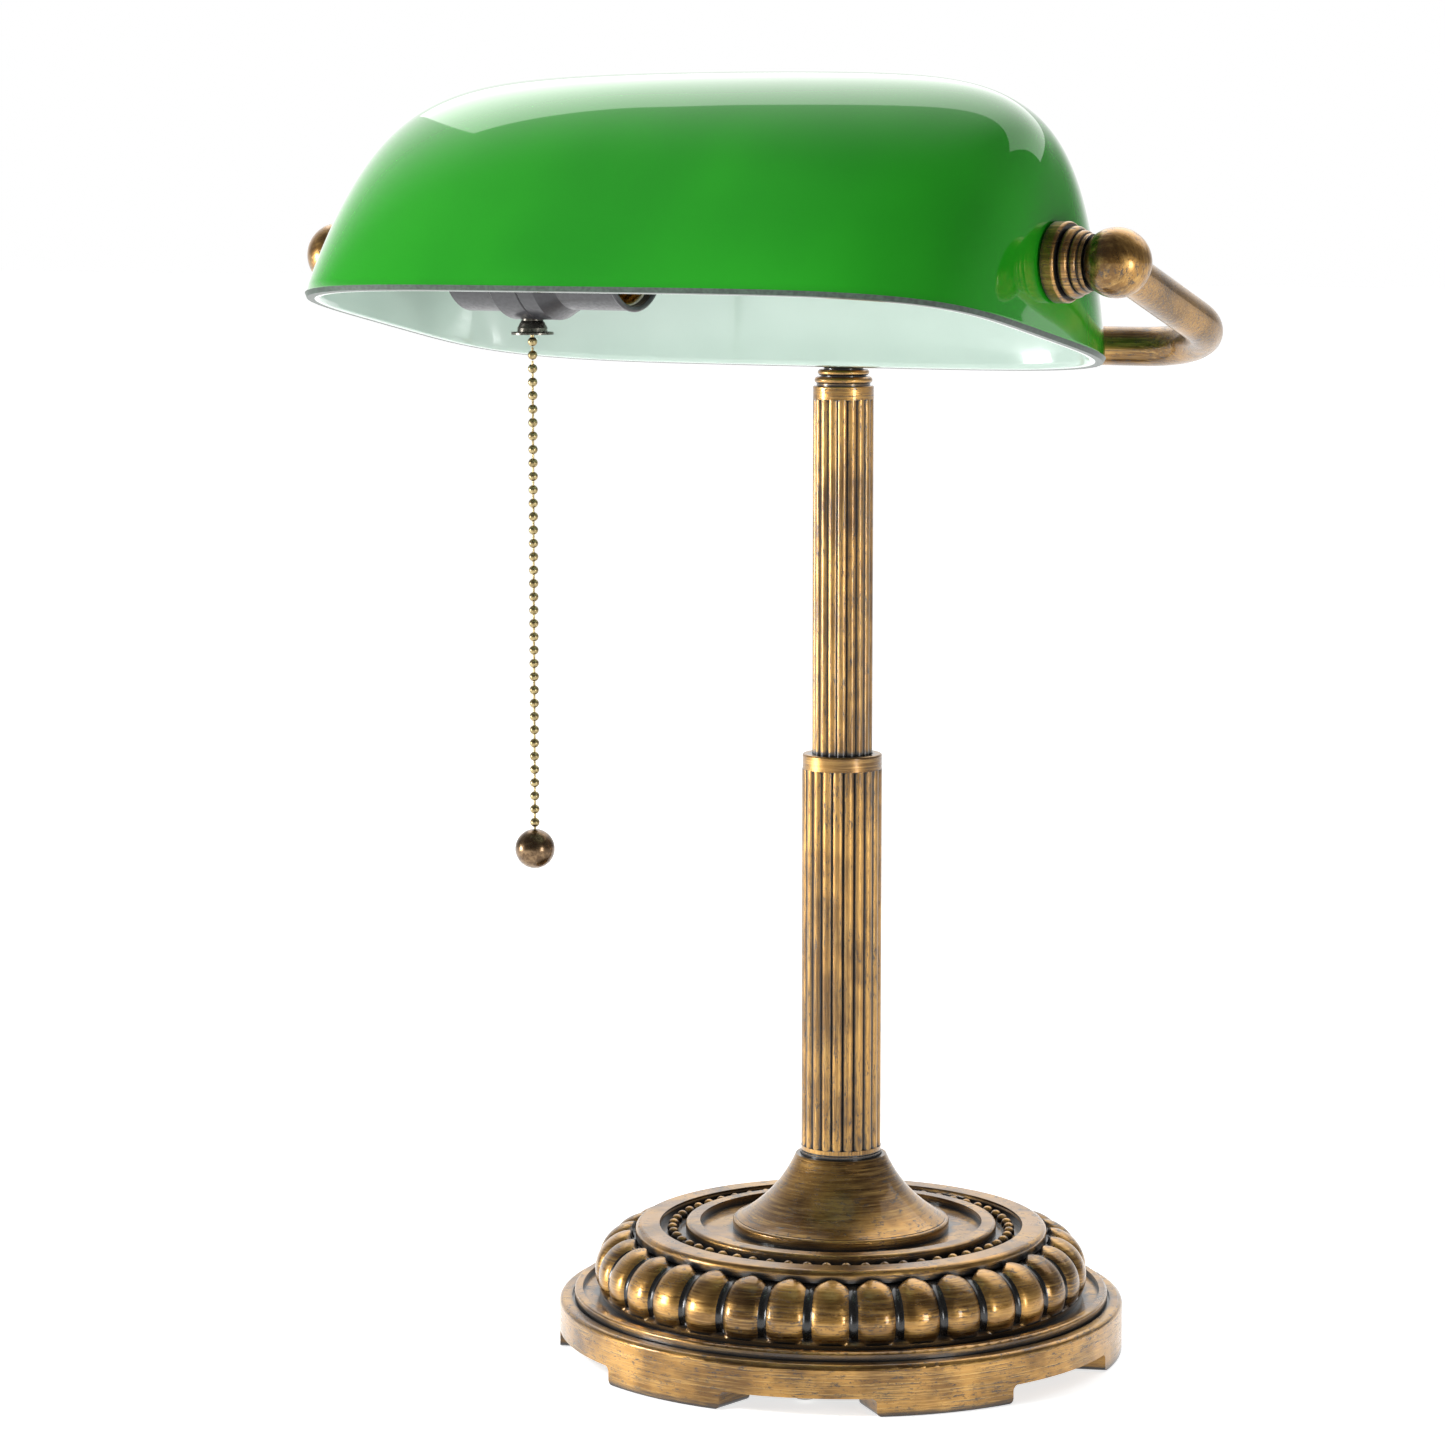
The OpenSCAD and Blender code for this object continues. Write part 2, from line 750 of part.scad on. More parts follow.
module chain_link() {
    color(brass) {
        chain_bead(head_z);
        chain_bead(first_bead_z);
        at_chain(first_bead_z) cylinder(h = head_z - first_bead_z, r = link_r);
    }
}

module chain_swivel() {
    z = first_bead_z - bead_pitch;
    color(brass) {
        chain_bead(z);
        chain_wire(z, first_bead_z - bead_r - wire_gap);
    }
}

module pull_chain() {
    last_z = first_bead_z - bead_pitch * (chain_beads - 1);
    color(brass) {
        for (i = [2:chain_beads - 1]) chain_bead(first_bead_z - bead_pitch * i);
        chain_wire(last_z, first_bead_z - bead_pitch - bead_r - wire_gap);
        chain_wire(knob_z + knob_r - 1, last_z);
    }
}

module chain_ball() {
    color(dark_brass) difference() {
        at_chain(knob_z) sphere(r = knob_r, $fn = 48);
        at_chain(knob_z + knob_r - 1) cylinder(h = 5, r = wire_r + slip);
    }
}

foot_pads();
plinth();
cover_plate();
cover_screws();
base_weight();
rod_washer();
rod_nut();
threaded_rod();
cord_bushing();
gadroon_ring();
top_plate();
bead_ring();
trumpet_cup();
lower_column();
column_collar();
upper_column();
column_capital();
hub_ball();
color(brass) mirror([1, 0, 0]) yoke_tube();  // yoke_tube_left
color(brass) yoke_tube();  // yoke_tube_right
mirror([1, 0, 0]) arm_ball();  // arm_ball_left
arm_ball();  // arm_ball_right
mirror([1, 0, 0]) nipple(nipple_end_left);  // nipple_left
nipple(nipple_end_right);  // nipple_right
mirror([1, 0, 0]) clamp_collar();  // clamp_collar_left
clamp_collar();  // clamp_collar_right
shade_glass();
mirror([1, 0, 0]) shade_bush();  // shade_bush_left
shade_bush();  // shade_bush_right
mirror([1, 0, 0]) pivot_washer();  // pivot_washer_left
pivot_washer();  // pivot_washer_right
mirror([1, 0, 0]) pivot_nut();  // pivot_nut_left
pivot_nut();  // pivot_nut_right
socket_cap();
socket_shell();
socket_liner();
switch_block();
screw_shell();
centre_contact();
terminal_screws();
switch_rotor();
lever_pin();
switch_lever();
return_spring();
chain_bell();
chain_link();
chain_swivel();
pull_chain();
chain_ball();
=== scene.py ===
"""Banker desk lamp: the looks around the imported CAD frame. Lengths are in metres, in the frame of the part."""

import json
import math

import bmesh
import bpy
from mathutils import Matrix, Vector


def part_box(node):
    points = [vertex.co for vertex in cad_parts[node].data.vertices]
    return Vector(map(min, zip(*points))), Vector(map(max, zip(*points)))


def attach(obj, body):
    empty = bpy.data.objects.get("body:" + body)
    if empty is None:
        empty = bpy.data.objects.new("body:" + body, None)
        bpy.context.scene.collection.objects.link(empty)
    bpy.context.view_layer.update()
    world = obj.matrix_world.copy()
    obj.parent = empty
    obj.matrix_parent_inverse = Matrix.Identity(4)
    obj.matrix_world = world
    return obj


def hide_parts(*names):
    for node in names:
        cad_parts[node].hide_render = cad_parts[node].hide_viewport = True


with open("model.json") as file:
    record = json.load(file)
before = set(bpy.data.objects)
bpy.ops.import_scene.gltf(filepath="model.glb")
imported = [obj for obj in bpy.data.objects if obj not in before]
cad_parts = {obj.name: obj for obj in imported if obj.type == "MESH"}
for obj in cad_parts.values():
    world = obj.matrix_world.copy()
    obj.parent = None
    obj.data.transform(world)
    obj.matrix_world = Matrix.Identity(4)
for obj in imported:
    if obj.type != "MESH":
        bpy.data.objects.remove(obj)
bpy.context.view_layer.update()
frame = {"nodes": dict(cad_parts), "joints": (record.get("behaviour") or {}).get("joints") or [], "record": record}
nodes = frame["nodes"]
MM = 0.001


# ---- Places worked out from the frame ----


def joint_place(name):
    """A point on the joint's axis."""
    return next(Vector(joint["pos_m"]) for joint in frame["joints"] if joint["name"] == name)


def middle(node):
    """Middle of the node's box."""
    low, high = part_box(node)
    return (low + high) / 2


pivot = joint_place("shade_tilt")


# ---- Camera ----

CAMERA_PLACE = (0.6894, -1.2185, 0.3684)
CAMERA_PITCH = math.radians(83.15)
CAMERA_TURN = math.radians(31.05)
LENS_MM = 111.2
SENSOR_MM = 36
FAR_CLIP = 20


def add_camera():
    """A long lens in front of the lamp and to its right, a little lower than its top."""
    data = bpy.data.cameras.new("camera")
    data.lens = LENS_MM
    data.sensor_width = SENSOR_MM
    data.clip_end = FAR_CLIP
    camera = bpy.data.objects.new("camera", data)
    camera.location = CAMERA_PLACE
    camera.rotation_euler = (CAMERA_PITCH, 0, CAMERA_TURN)
    bpy.context.scene.collection.objects.link(camera)
    bpy.context.scene.camera = camera


# ---- Mesh helpers ----

SHARP_EDGE = math.radians(35)


def add_mesh(name, points, faces, body, materials, face_material=None, sharp=SHARP_EDGE):
    """A piece made of points and faces, shaded smooth except at edges sharper than the angle."""
    mesh = bpy.data.meshes.new(name)
    mesh.from_pydata(points, [], faces)
    shape = bmesh.new()
    shape.from_mesh(mesh)
    bmesh.ops.recalc_face_normals(shape, faces=shape.faces)
    shape.to_mesh(mesh)
    shape.free()
    for material in materials:
        mesh.materials.append(material)
    if face_material:
        for polygon in mesh.polygons:
            polygon.material_index = face_material(polygon)
    mesh.polygons.foreach_set("use_smooth", [True] * len(mesh.polygons))
    mesh.set_sharp_from_angle(angle=sharp)
    mesh.update()
    piece = bpy.data.objects.new(name, mesh)
    bpy.context.scene.collection.objects.link(piece)
    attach(piece, body)
    return piece


def grid_faces(rows, cols, closed_rows=False, first=0):
    """Quads over rows x cols points from the first on; each row closes on itself."""
    quads = []
    for i in range(rows if closed_rows else rows - 1):
        low = first + i * cols
        high = first + (i + 1) % rows * cols
        for j in range(cols):
            k = (j + 1) % cols
            quads.append((low + j, low + k, high + k, high + j))
    return quads


# ---- Materials ----


class Nodes:
    """Short calls for making a material's node tree."""

    def __init__(self, name):
        self.material = bpy.data.materials.new(name)
        self.material.use_nodes = True
        self.tree = self.material.node_tree
        self.shader = self.tree.nodes["Principled BSDF"]

    def add(self, kind, **inputs):
        """A node with the inputs given; an underscore in a name stands for a space."""
        node = self.tree.nodes.new(kind)
        for name, value in inputs.items():
            self.feed(node.inputs[name.replace("_", " ")], value)
        return node

    def feed(self, socket, value):
        """A link where the value is a node's output, or else a plain value."""
        if isinstance(value, bpy.types.NodeSocket):
            self.tree.links.new(value, socket)
        else:
            socket.default_value = value

    def set(self, **inputs):
        """Inputs of the surface shader."""
        for name, value in inputs.items():
            self.feed(self.shader.inputs[name.replace("_", " ")], value)

    def position(self, scale=(1, 1, 1)):
        """Object coordinates in millimetres, scaled by axis."""
        texture = self.add("ShaderNodeTexCoord")
        mapping = self.add("ShaderNodeMapping")
        self.feed(mapping.inputs["Vector"], texture.outputs["Object"])
        mapping.inputs["Scale"].default_value = [s / MM for s in scale]
        return mapping.outputs["Vector"]

    def noise(self, vector, scale, detail=4, roughness=0.55):
        node = self.add("ShaderNodeTexNoise", Scale=scale, Detail=detail, Roughness=roughness)
        self.feed(node.inputs["Vector"], vector)
        return node.outputs["Fac"]

    def ramp(self, value, low, high, low_value=0.0, high_value=1.0):
        """A smooth step from the low value, at low, to the high value, at high."""
        node = self.add("ShaderNodeMapRange")
        node.interpolation_type = "SMOOTHSTEP"
        self.feed(node.inputs["Value"], value)
        node.inputs["From Min"].default_value = low
        node.inputs["From Max"].default_value = high
        node.inputs["To Min"].default_value = low_value
        node.inputs["To Max"].default_value = high_value
        return node.outputs["Result"]

    def math(self, operation, a, b):
        node = self.add("ShaderNodeMath")
        node.operation = operation
        self.feed(node.inputs[0], a)
        self.feed(node.inputs[1], b)
        return node.outputs[0]

    def mix(self, factor, a, b):
        """Colour between a and b. Its colour sockets share their names with others, so they go by number."""
        node = self.add("ShaderNodeMix")
        node.data_type = "RGBA"
        self.feed(node.inputs["Factor"], factor)
        self.feed(node.inputs[6], a)
        self.feed(node.inputs[7], b)
        return node.outputs[2]

    def recess(self, reach):
        """From 0 in a recess narrower than the reach, in millimetres, to 1 in the open."""
        node = self.add("ShaderNodeAmbientOcclusion", Distance=reach * MM)
        node.samples = 8
        return node.outputs["AO"]

    def bump(self, height, strength, distance):
        """Relief of the height, over a distance in millimetres."""
        node = self.add("ShaderNodeBump", Strength=strength, Distance=distance * MM)
        self.feed(node.inputs["Height"], height)
        self.feed(self.shader.inputs["Normal"], node.outputs["Normal"])


def linear(red, green, blue):
    """Linear colour of an sRGB colour from 0 to 255."""
    channels = []
    for value in (red, green, blue):
        c = value / 255
        channels.append(c / 12.92 if c <= 0.04045 else ((c + 0.055) / 1.055) ** 2.4)
    return (*channels, 1)


def dimmed(colour, factor):
    """The colour times the factor, still opaque."""
    return [c * factor for c in colour[:3]] + [1]


def worn_specks(m, streak):
    """1 in worn streaks and specks that lie in patches, 0 elsewhere."""
    scratch_vector = m.position([s * 1.7 for s in streak])
    scratch = m.ramp(m.noise(scratch_vector, scale=0.6, detail=5, roughness=0.8), 0.54, 0.64)
    patches = m.ramp(m.noise(m.position(), scale=0.07, detail=3), 0.32, 0.54)
    speck_vector = m.position([0.6 * s + 0.3 for s in streak])
    specks = m.ramp(m.noise(speck_vector, scale=0.9, detail=5, roughness=0.85), 0.54, 0.60)
    return m.math("MULTIPLY", m.math("MAXIMUM", scratch, specks), patches)


def brass_material(name, streak, reach=4.0, patina=(0.80, 1.0), tint=1.0):
    """Antique brass: gold, brushed along the streak, black in the recesses, under clear lacquer."""
    m = Nodes(name)
    gold = dimmed(linear(172, 129, 68), tint)
    pale = dimmed(linear(222, 180, 108), tint)
    brown = dimmed(linear(108, 78, 42), tint)
    black = linear(28, 27, 27)
    clouds = m.noise(m.position(), scale=0.045, detail=3)
    brushed = m.noise(m.position(streak), scale=1.0, detail=3, roughness=0.7)
    tone = m.mix(m.ramp(clouds, 0.38, 0.62), gold, brown)
    tone = m.mix(m.ramp(brushed, 0.42, 0.75, 0, 0.55), tone, pale)
    worn = worn_specks(m, streak)
    # Black patina in the recesses, with a ragged edge
    rag = m.noise(m.position(streak), scale=1.0, detail=4, roughness=0.8)
    edge = m.math("ADD", m.recess(reach), m.math("MULTIPLY", rag, 0.30))
    deep = m.ramp(edge, *patina, 1, 0)
    dark = m.math("MINIMUM", m.math("MAXIMUM", deep, m.math("MULTIPLY", worn, 0.85)), 1.0)
    m.set(Base_Color=m.mix(dark, tone, black))
    m.set(Metallic=m.ramp(dark, 0.2, 0.9, 1.0, 0.15))
    m.set(Roughness=m.ramp(brushed, 0.3, 0.7, 0.26, 0.42))
    m.set(Coat_Weight=0.5, Coat_Roughness=0.08)
    relief = m.math("SUBTRACT", m.math("MULTIPLY", brushed, 0.35), dark)
    m.bump(relief, strength=0.25, distance=0.15)
    return m.material


def glass_outer_material():
    """Outside of the cased glass: deep green under a clear glossy surface."""
    m = Nodes("green_cased_glass")
    clouds = m.noise(m.position(), scale=0.012, detail=2)
    m.set(Base_Color=m.mix(m.ramp(clouds, 0.3, 0.7), linear(30, 138, 24), linear(22, 122, 20)))
    m.set(Roughness=0.05, IOR=1.3)
    m.set(Coat_Weight=1.0, Coat_Roughness=0.015, Coat_IOR=1.35)
    waves = m.noise(m.position(), scale=0.02, detail=1)
    m.bump(waves, strength=0.12, distance=1.0)
    return m.material


def opal_material():
    """White inner layer of the glass, with a faint green cast."""
    m = Nodes("opal_glass")
    clouds = m.noise(m.position(), scale=0.02, detail=2)
    m.set(Base_Color=m.mix(m.ramp(clouds, 0.3, 0.7), linear(180, 199, 188), linear(170, 190, 179)))
    m.set(Roughness=0.12, Coat_Weight=0.5)
    return m.material


def rim_material():
    """Cut edge of the green layer."""
    m = Nodes("glass_cut_edge")
    grain = m.noise(m.position(), scale=0.9, detail=4)
    m.set(Base_Color=m.mix(m.ramp(grain, 0.35, 0.65), linear(24, 42, 31), linear(46, 66, 53)))
    m.set(Roughness=0.32)
    m.bump(grain, strength=0.2, distance=0.1)
    return m.material


def plain_material(name, light, dark, roughness, metallic=0.0, bump=0.15, coat=0.0):
    """A fine mottle between two sRGB colours, with painted shade that darkens it in the recesses, and a bump of
    the same mottle.
    """
    m = Nodes(name)
    mottle = m.noise(m.position(), scale=0.8, detail=4)
    # Painted shade: the colour is darkened in the recesses, towards a third of the dark colour
    recess_shade = m.ramp(m.recess(1.5), 0.35, 0.8, 1, 0)
    colour = m.mix(m.ramp(mottle, 0.35, 0.65), linear(*light), linear(*dark))
    m.set(Base_Color=m.mix(recess_shade, colour, dimmed(linear(*dark), 0.35)))
    m.set(Metallic=metallic)
    m.set(Roughness=m.ramp(mottle, 0.3, 0.7, roughness * 0.85, roughness * 1.2))
    m.set(Coat_Weight=coat, Coat_Roughness=0.15)
    m.bump(mottle, strength=bump, distance=0.05)
    return m.material


def make_materials():
    """All materials by key. A streak is the grain per millimetre along X, Y and Z, so it is long where low."""
    around = (0.05, 0.05, 1.6)
    along_z = (1.8, 1.8, 0.05)
    along_x = (0.05, 1.6, 1.6)
    over_ball = (0.25, 0.9, 0.25)
    return {
        "base": brass_material("antique_brass_base", around),
        "column": brass_material("antique_brass_column", along_z, reach=2.2, patina=(0.92, 1.05)),
        "tube": brass_material("antique_brass_tube", along_x, tint=0.85),
        "ball": brass_material("antique_brass_ball", over_ball),
        "patina": plain_material("black_patina", (20, 18, 17), (9, 9, 9), 0.25, coat=0.3),
        "green": glass_outer_material(),
        "opal": opal_material(),
        "rim": rim_material(),
        "phenolic": plain_material("phenolic", (42, 42, 46), (34, 34, 38), 0.38, coat=0.2),
        "fibre": plain_material("fibre", (206, 200, 184), (188, 180, 160), 0.75),
        "bright": plain_material("bright_brass", (214, 176, 98), (186, 148, 78), 0.28, metallic=1.0),
        "iron": plain_material("cast_iron", (62, 62, 64), (38, 38, 40), 0.7, metallic=0.6, bump=0.6),
        "plate": plain_material("dark_plate", (58, 52, 46), (44, 40, 36), 0.55),
        "zinc": plain_material("zinc_steel", (190, 190, 186), (160, 160, 158), 0.35, metallic=1.0),
        "rubber": plain_material("black_rubber", (34, 34, 34), (24, 24, 24), 0.8, bump=0.3),
        "nickel": plain_material("dark_nickel", (120, 116, 108), (78, 74, 68), 0.28, metallic=1.0),
        "chain": plain_material("gilt_chain", (176, 160, 118), (136, 120, 84), 0.3, metallic=1.0),
        "bronze": plain_material("dark_bronze", (128, 104, 76), (88, 68, 48), 0.26, metallic=1.0, coat=0.3),
    }


BY_SLOT = {
    "antique_brass": "base", "cased_glass": "green", "phenolic": "phenolic", "fibre": "fibre",
    "bare_brass": "bright", "cast_iron": "iron", "dark_plate": "plate", "zinc_steel": "zinc",
    "black_rubber": "rubber", "dark_nickel": "nickel", "bead_chain": "chain", "bronze": "bronze",
}
BY_NODE = {
    "lower_column": "column", "upper_column": "column",
    "yoke_tube_left": "tube", "yoke_tube_right": "tube",
    "arm_ball_left": "ball", "arm_ball_right": "ball", "hub_ball": "ball",
}


def paint_nodes(materials):
    """Every CAD node gets the material of its slot, or its own where the finish runs another way."""
    for entry in frame["record"]["subparts"]:
        name = entry["node"]
        key = BY_NODE.get(name, BY_SLOT[entry["material_slot"]])
        mesh = nodes[name].data
        mesh.materials.clear()
        mesh.materials.append(materials[key])
        mesh.polygons.foreach_set("material_index", [0] * len(mesh.polygons))


# ---- Shade ----

SHADE_COLS = 240
SHADE_ROWS = 90
# The rows are closer together near the crown
ROW_EASE = 2.2
# From the pivot down to the rim, half the length and depth at the rim, and from the rim to the crown
RIM_DROP = 0.0216
SHADE_HALF = (0.1151, 0.070)
SHADE_HIGH = 0.0768
GLASS = 0.004
# Inset from the outside and rise above the lowest edge, from the green layer's chamfer to the inside
RIM_PROFILE = ((0, 0.0014), (0.0006, 0), (0.0026, 0), (0.0029, 0), (0.0037, 0.0001), (GLASS, 0.0005))
# Rows of faces in that profile that show the cut edge of the green layer
CUT_ROWS = 2
SHADE_TILT = math.radians(10.75)
# Curve of the ends and of the sides: power of the height, and root
END_POWERS = (5.2, 4.7)
SIDE_POWERS = (1.32, 2.07)
# Outline seen from above: powers along X and Y at the rim, and the power at the crown
PLAN_RIM = (4.6, 4.4)
PLAN_CROWN = 2.0
PIVOT_HOLE = 0.0065
DRILL_LENGTH = 0.3


def shade_ring(inset, u, rise=0.0):
    """Points round the shade at u, from 0 at the rim to 1 at the crown, inset from the outside."""
    n, m = (rim + (PLAN_CROWN - rim) * u for rim in PLAN_RIM)
    half_x = (SHADE_HALF[0] - inset) * (1 - u ** END_POWERS[0]) ** (1 / END_POWERS[1])
    half_y = (SHADE_HALF[1] - inset) * (1 - u ** SIDE_POWERS[0]) ** (1 / SIDE_POWERS[1])
    z = (SHADE_HIGH - inset) * u - RIM_DROP + rise
    ring = []
    for j in range(SHADE_COLS):
        t = 2 * math.pi * j / SHADE_COLS
        # Even spacing along the flat sides and round the corners
        c, s = math.cos(t), math.sin(t)
        r = (abs(c) ** n + abs(s) ** m) ** (-1 / max(n, m))
        x, y = r * c, r * s
        grow = (abs(x) ** n + abs(y) ** m) ** (-1 / ((n + m) / 2))
        ring.append((half_x * x * grow, half_y * y * grow, z))
    return ring


def shade_mesh():
    """Points and faces: quads from the crown down the outside, round the rim and up the inside, then
    pairs of triangles that close the crown outside and inside."""
    levels = [1 - (1 - i / SHADE_ROWS) ** ROW_EASE for i in range(1, SHADE_ROWS)]
    rings = [shade_ring(0, u) for u in reversed(levels)]
    rings += [shade_ring(inset, 0, rise) for inset, rise in RIM_PROFILE]
    rings += [shade_ring(GLASS, u) for u in levels]
    points = [p for ring in rings for p in ring]
    faces = grid_faces(len(rings), SHADE_COLS)
    crown_outside = len(points)
    crown_inside = crown_outside + 1
    points += [(0, 0, SHADE_HIGH - RIM_DROP), (0, 0, SHADE_HIGH - GLASS - RIM_DROP)]
    last = (len(rings) - 1) * SHADE_COLS
    for j in range(SHADE_COLS):
        k = (j + 1) % SHADE_COLS
        faces.append((crown_outside, k, j))
        faces.append((crown_inside, last + j, last + k))
    return points, faces


def drill(piece, through, radius, length):
    """A round hole along X."""
    cutter_mesh = bpy.data.meshes.new("drill")
    shape = bmesh.new()
    turn = Matrix.Translation(through) @ Matrix.Rotation(math.pi / 2, 4, "Y")
    bmesh.ops.create_cone(
        shape, cap_ends=True, segments=48, radius1=radius, radius2=radius, depth=length, matrix=turn,
    )
    shape.to_mesh(cutter_mesh)
    shape.free()
    cutter = bpy.data.objects.new("drill", cutter_mesh)
    bpy.context.scene.collection.objects.link(cutter)
    cut = piece.modifiers.new("drill", "BOOLEAN")
    cut.object = cutter
    cut.operation = "DIFFERENCE"
    cut.solver = "EXACT"
    depsgraph = bpy.context.evaluated_depsgraph_get()
    drilled = bpy.data.meshes.new_from_object(piece.evaluated_get(depsgraph))
    piece.modifiers.remove(cut)
    old = piece.data
    piece.data = drilled
    drilled.name = old.name
    bpy.data.meshes.remove(old)
    bpy.data.objects.remove(cutter)
    bpy.data.meshes.remove(cutter_mesh)


def add_shade(materials):
    """Cased glass: green outside, a cut rim, and an opal white inside."""
    points, faces = shade_mesh()
    turn = Matrix.Translation(pivot) @ Matrix.Rotation(-SHADE_TILT, 4, "X")
    points = [turn @ Vector(p) for p in points]
    quads = len(faces) - 2 * SHADE_COLS
    green, opal, rim = 0, 1, 2

    def layer(polygon):
        if polygon.index >= quads:
            return green if (polygon.index - quads) % 2 == 0 else opal
        row = polygon.index // SHADE_COLS
        if row < SHADE_ROWS - 1:
            return green
        return rim if row < SHADE_ROWS - 1 + CUT_ROWS else opal

    layers = [materials["green"], materials["opal"], materials["rim"]]
    shade = add_mesh("glass_shade", points, faces, "shade", layers, layer)
    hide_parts("shade_glass")
    drill(shade, pivot, PIVOT_HOLE, DRILL_LENGTH)


# ---- Gadroon ring ----

LOBES = 34
LOBE_STEPS = 20
LOBE_DEPTH = 0.0021
# Height angles in degrees: where the lobes start, end, begin to narrow, and how far on they close
LOBE_LOW = -25
LOBE_HIGH = 90
LOBE_ROWS = 36
LOBE_ARCH = 66
ARCH_SPAN = 21
# Share of the spacing that a lobe takes, and the share under which it has run out
LOBE_WIDTH = 0.84
LEAST_WIDTH = 0.05
# A lobe's round: the power of its cross-section, and how close to upright it ends
LOBE_POWER = 2.4
LOBE_STEEP = 0.985
LOBE_SHARP = math.radians(60)
VALLEY_TURN = -57.5
# Share of the depth below which a valley is black
BLACK_BELOW = 0.74
# The ring's oval outline as radius and height, then its ledge, inner wall and bottom
RING_MIDDLE = (0.066, 0.0245)
RING_SEMI = (0.0126, 0.0125)
RING_LIP = 0.0658
RING_LEDGE = 0.0354
LEDGE_FALL = 0.0004
RING_INNER = 0.062
RING_BOTTOM = 0.0189
RING_FOOT = 0.077


def lobe_dip(across, along):
    """Depth below the lobe's crest; across runs from -1 to 1 over a lobe, along is the height angle."""
    width = LOBE_WIDTH
    if along > LOBE_ARCH:
        width *= math.sqrt(max(0.0, 1 - ((along - LOBE_ARCH) / ARCH_SPAN) ** 2))
    if width < LEAST_WIDTH:
        return LOBE_DEPTH
    inside = min(1.0, abs(across) / width)
    fall = 1 - math.sqrt(1 - LOBE_STEEP * inside ** LOBE_POWER)
    return LOBE_DEPTH * fall / (1 - math.sqrt(1 - LOBE_STEEP))


def lobe_outline(across, angles):
    """Radius and height round the ring's section, where it is that far across a lobe."""
    outline = []
    for along in angles:
        dip = lobe_dip(across, along)
        c, s = math.cos(math.radians(along)), math.sin(math.radians(along))
        radius = RING_MIDDLE[0] + (RING_SEMI[0] - dip) * c
        outline.append((radius, RING_MIDDLE[1] + (RING_SEMI[1] - dip) * s))
    outline.append((RING_LIP, min(outline[-1][1], RING_LEDGE)))
    outline.append((RING_INNER, RING_LEDGE - LEDGE_FALL))
    outline += [(RING_INNER, RING_BOTTOM), (RING_FOOT, RING_BOTTOM)]
    return outline


def add_gadroon_ring(materials):
    """Ring of rounded lobes that arch over at the top, with black patina in the valleys between them."""
    angles = [LOBE_LOW + (LOBE_HIGH - LOBE_LOW) * i / LOBE_ROWS for i in range(LOBE_ROWS + 1)]
    count = LOBES * LOBE_STEPS
    cols = []
    for j in range(count):
        across = (j % LOBE_STEPS) / LOBE_STEPS * 2 - 1
        turn = math.radians(VALLEY_TURN + 360 * j / count)
        cols.append([(r * math.cos(turn), r * math.sin(turn), z) for r, z in lobe_outline(across, angles)])
    points = [p for col in cols for p in col]
    faces = grid_faces(count, len(cols[0]), closed_rows=True)

    def layer(polygon):
        col, row = divmod(polygon.index, len(cols[0]))
        across = (col % LOBE_STEPS + 0.5) / LOBE_STEPS * 2 - 1
        return 1 if row < len(angles) and lobe_dip(across, angles[row]) > BLACK_BELOW * LOBE_DEPTH else 0

    layers = [materials["base"], materials["patina"]]
    ring = add_mesh("lobed_ring", points, faces, "stand", layers, layer, LOBE_SHARP)
    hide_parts("gadroon_ring")


# ---- Lampholder thread ----

THREAD_PITCH = 3.62 * MM
THREAD_DEPTH = 0.45 * MM
THREAD_WALL = 0.45 * MM
THREAD_INNER = 13.35 * MM
# Share of the depth by which the wave is moved outwards
THREAD_LIFT = 0.4
# Share of the length over which the wave fades at each end
THREAD_FADE = 0.1
THREAD_STEPS = 110
THREAD_SEGMENTS = 72


def add_thread(materials):
    """The screw shell with its rolled thread."""
    low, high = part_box("screw_shell")
    inside = [(0, i / THREAD_STEPS) for i in range(THREAD_STEPS + 1)]
    outside = [(1, share) for _, share in reversed(inside)]
    points = []
    for side, share in inside + outside:
        x = low.x + (high.x - low.x) * share
        ease = min(1.0, share / THREAD_FADE, (1 - share) / THREAD_FADE)
        for j in range(THREAD_SEGMENTS):
            turn = 2 * math.pi * j / THREAD_SEGMENTS
            wave = 0.5 + 0.5 * math.sin(2 * math.pi * x / THREAD_PITCH + turn)
            r = THREAD_INNER + side * THREAD_WALL - THREAD_DEPTH * ease * wave + THREAD_DEPTH * THREAD_LIFT
            points.append((x, pivot.y + r * math.cos(turn), pivot.z + r * math.sin(turn)))
    faces = grid_faces(len(inside + outside), THREAD_SEGMENTS, closed_rows=True)
    shell = add_mesh("threaded_shell", points, faces, "stand", [materials["bright"]])
    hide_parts("screw_shell")


# ---- Pull chain ----

BEAD_PITCH = 0.0041
BEAD_RADIUS = 0.00145
BEAD_STEPS = 10
# Degrees from a bead's middle to its opening, and the share of its radius where the wire starts
BEAD_OPENING = 66
WIRE_START = 0.90
WIRE_RADIUS = 0.00035
# The last bead's middle stays this far above the ball
BALL_GAP = 0.0005
CHAIN_SEGMENTS = 20


def chain_outline(top, bottom):
    """Radius and height from the top of the chain to its bottom: a wire that swells into each bead."""
    top_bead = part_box("chain_swivel")[0].z + BEAD_RADIUS - BEAD_PITCH
    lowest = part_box("chain_ball")[1].z + BALL_GAP
    beads = int((top_bead - lowest) / BEAD_PITCH) + 1
    outline = [(0.0, top), (WIRE_RADIUS, top)]
    for i in range(beads):
        z = top_bead - i * BEAD_PITCH
        outline.append((WIRE_RADIUS, z + BEAD_RADIUS * WIRE_START))
        for k in range(BEAD_STEPS + 1):
            a = math.radians(BEAD_OPENING - 2 * BEAD_OPENING * k / BEAD_STEPS)
            outline.append((BEAD_RADIUS * math.cos(a), z + BEAD_RADIUS * math.sin(a)))
        outline.append((WIRE_RADIUS, z - BEAD_RADIUS * WIRE_START))
    outline += [(WIRE_RADIUS, bottom), (0.0, bottom)]
    return outline


